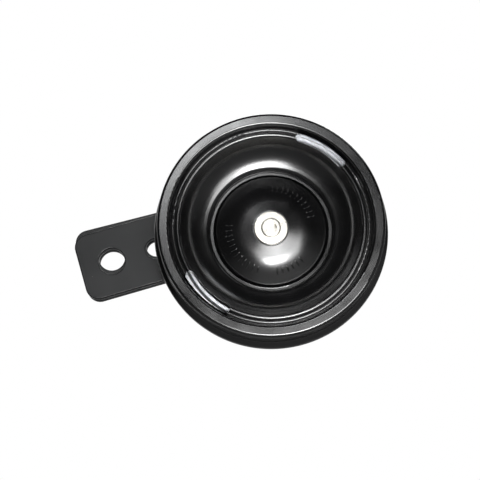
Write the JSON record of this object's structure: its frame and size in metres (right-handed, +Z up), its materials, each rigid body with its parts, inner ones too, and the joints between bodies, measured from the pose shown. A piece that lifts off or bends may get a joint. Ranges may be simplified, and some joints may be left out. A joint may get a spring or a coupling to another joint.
{
  "type": "car horn",
  "caption": "Small electric disc horn: black pressed cover with a round mouth, tone disc riveted at its centre, and a bracket of three stacked straps on the rear stud.",
  "frame": {"origin": "on the axis of the large bracket hole, in the plane where the front strap meets the middle one", "axes": "+Z up, +X along the straps from the bracket hole towards the horn, the horn faces -Y"},
  "size_m": [0.0984, 0.046, 0.0732],
  "materials": {
    "cover_paint": "gloss black stoving enamel",
    "disc_paint": "gloss black enamel",
    "casing_paint": "satin black enamel",
    "strap_paint": "satin dark grey-black enamel",
    "bright_steel": "bright zinc plate",
    "warm_plate": "nickel plate, slightly warm",
    "zinc_steel": "zinc plate",
    "iron": "turned soft iron",
    "paper": "oiled gasket paper",
    "fibre": "vulcanised fibre",
    "bobbin_plastic": "moulded nylon",
    "winding": "lacquered copper wire",
    "spring_metal": "spring bronze",
    "contact_metal": "tungsten",
    "terminal_metal": "bright brass",
    "board_plastic": "phenolic moulding"
  },
  "bodies": {
    "root": {"front_cover": "cover_paint", "tone_disc": "disc_paint", "rear_casing": "casing_paint", "clamp_ring": "bright_steel", "diaphragm": "bright_steel", "front_gasket": "paper", "rear_gasket": "paper", "rivet_washer": "warm_plate", "centre_rivet": "warm_plate", "spacer_collar": "zinc_steel", "armature": "iron", "striker_ring": "fibre", "pole_core": "zinc_steel", "coil_bobbin": "bobbin_plastic", "coil_winding": "winding", "pole_plate": "zinc_steel", "contact_insulators": "fibre", "contact_spring": "spring_metal", "contact_arm": "zinc_steel", "moving_contact_point": "contact_metal", "fixed_contact_point": "contact_metal", "contact_rivets": "terminal_metal", "adjusting_screw": "zinc_steel", "adjuster_nut": "zinc_steel", "terminal_board": "board_plastic", "inner_board": "fibre", "left_terminal": "terminal_metal", "right_terminal": "terminal_metal", "terminal_rivets": "terminal_metal", "bracket_front_strap": "strap_paint", "bracket_middle_strap": "strap_paint", "bracket_rear_strap": "strap_paint", "stud_washer": "zinc_steel", "spring_washer": "zinc_steel", "stud_nut": "zinc_steel"}
  },
  "joints": []
}
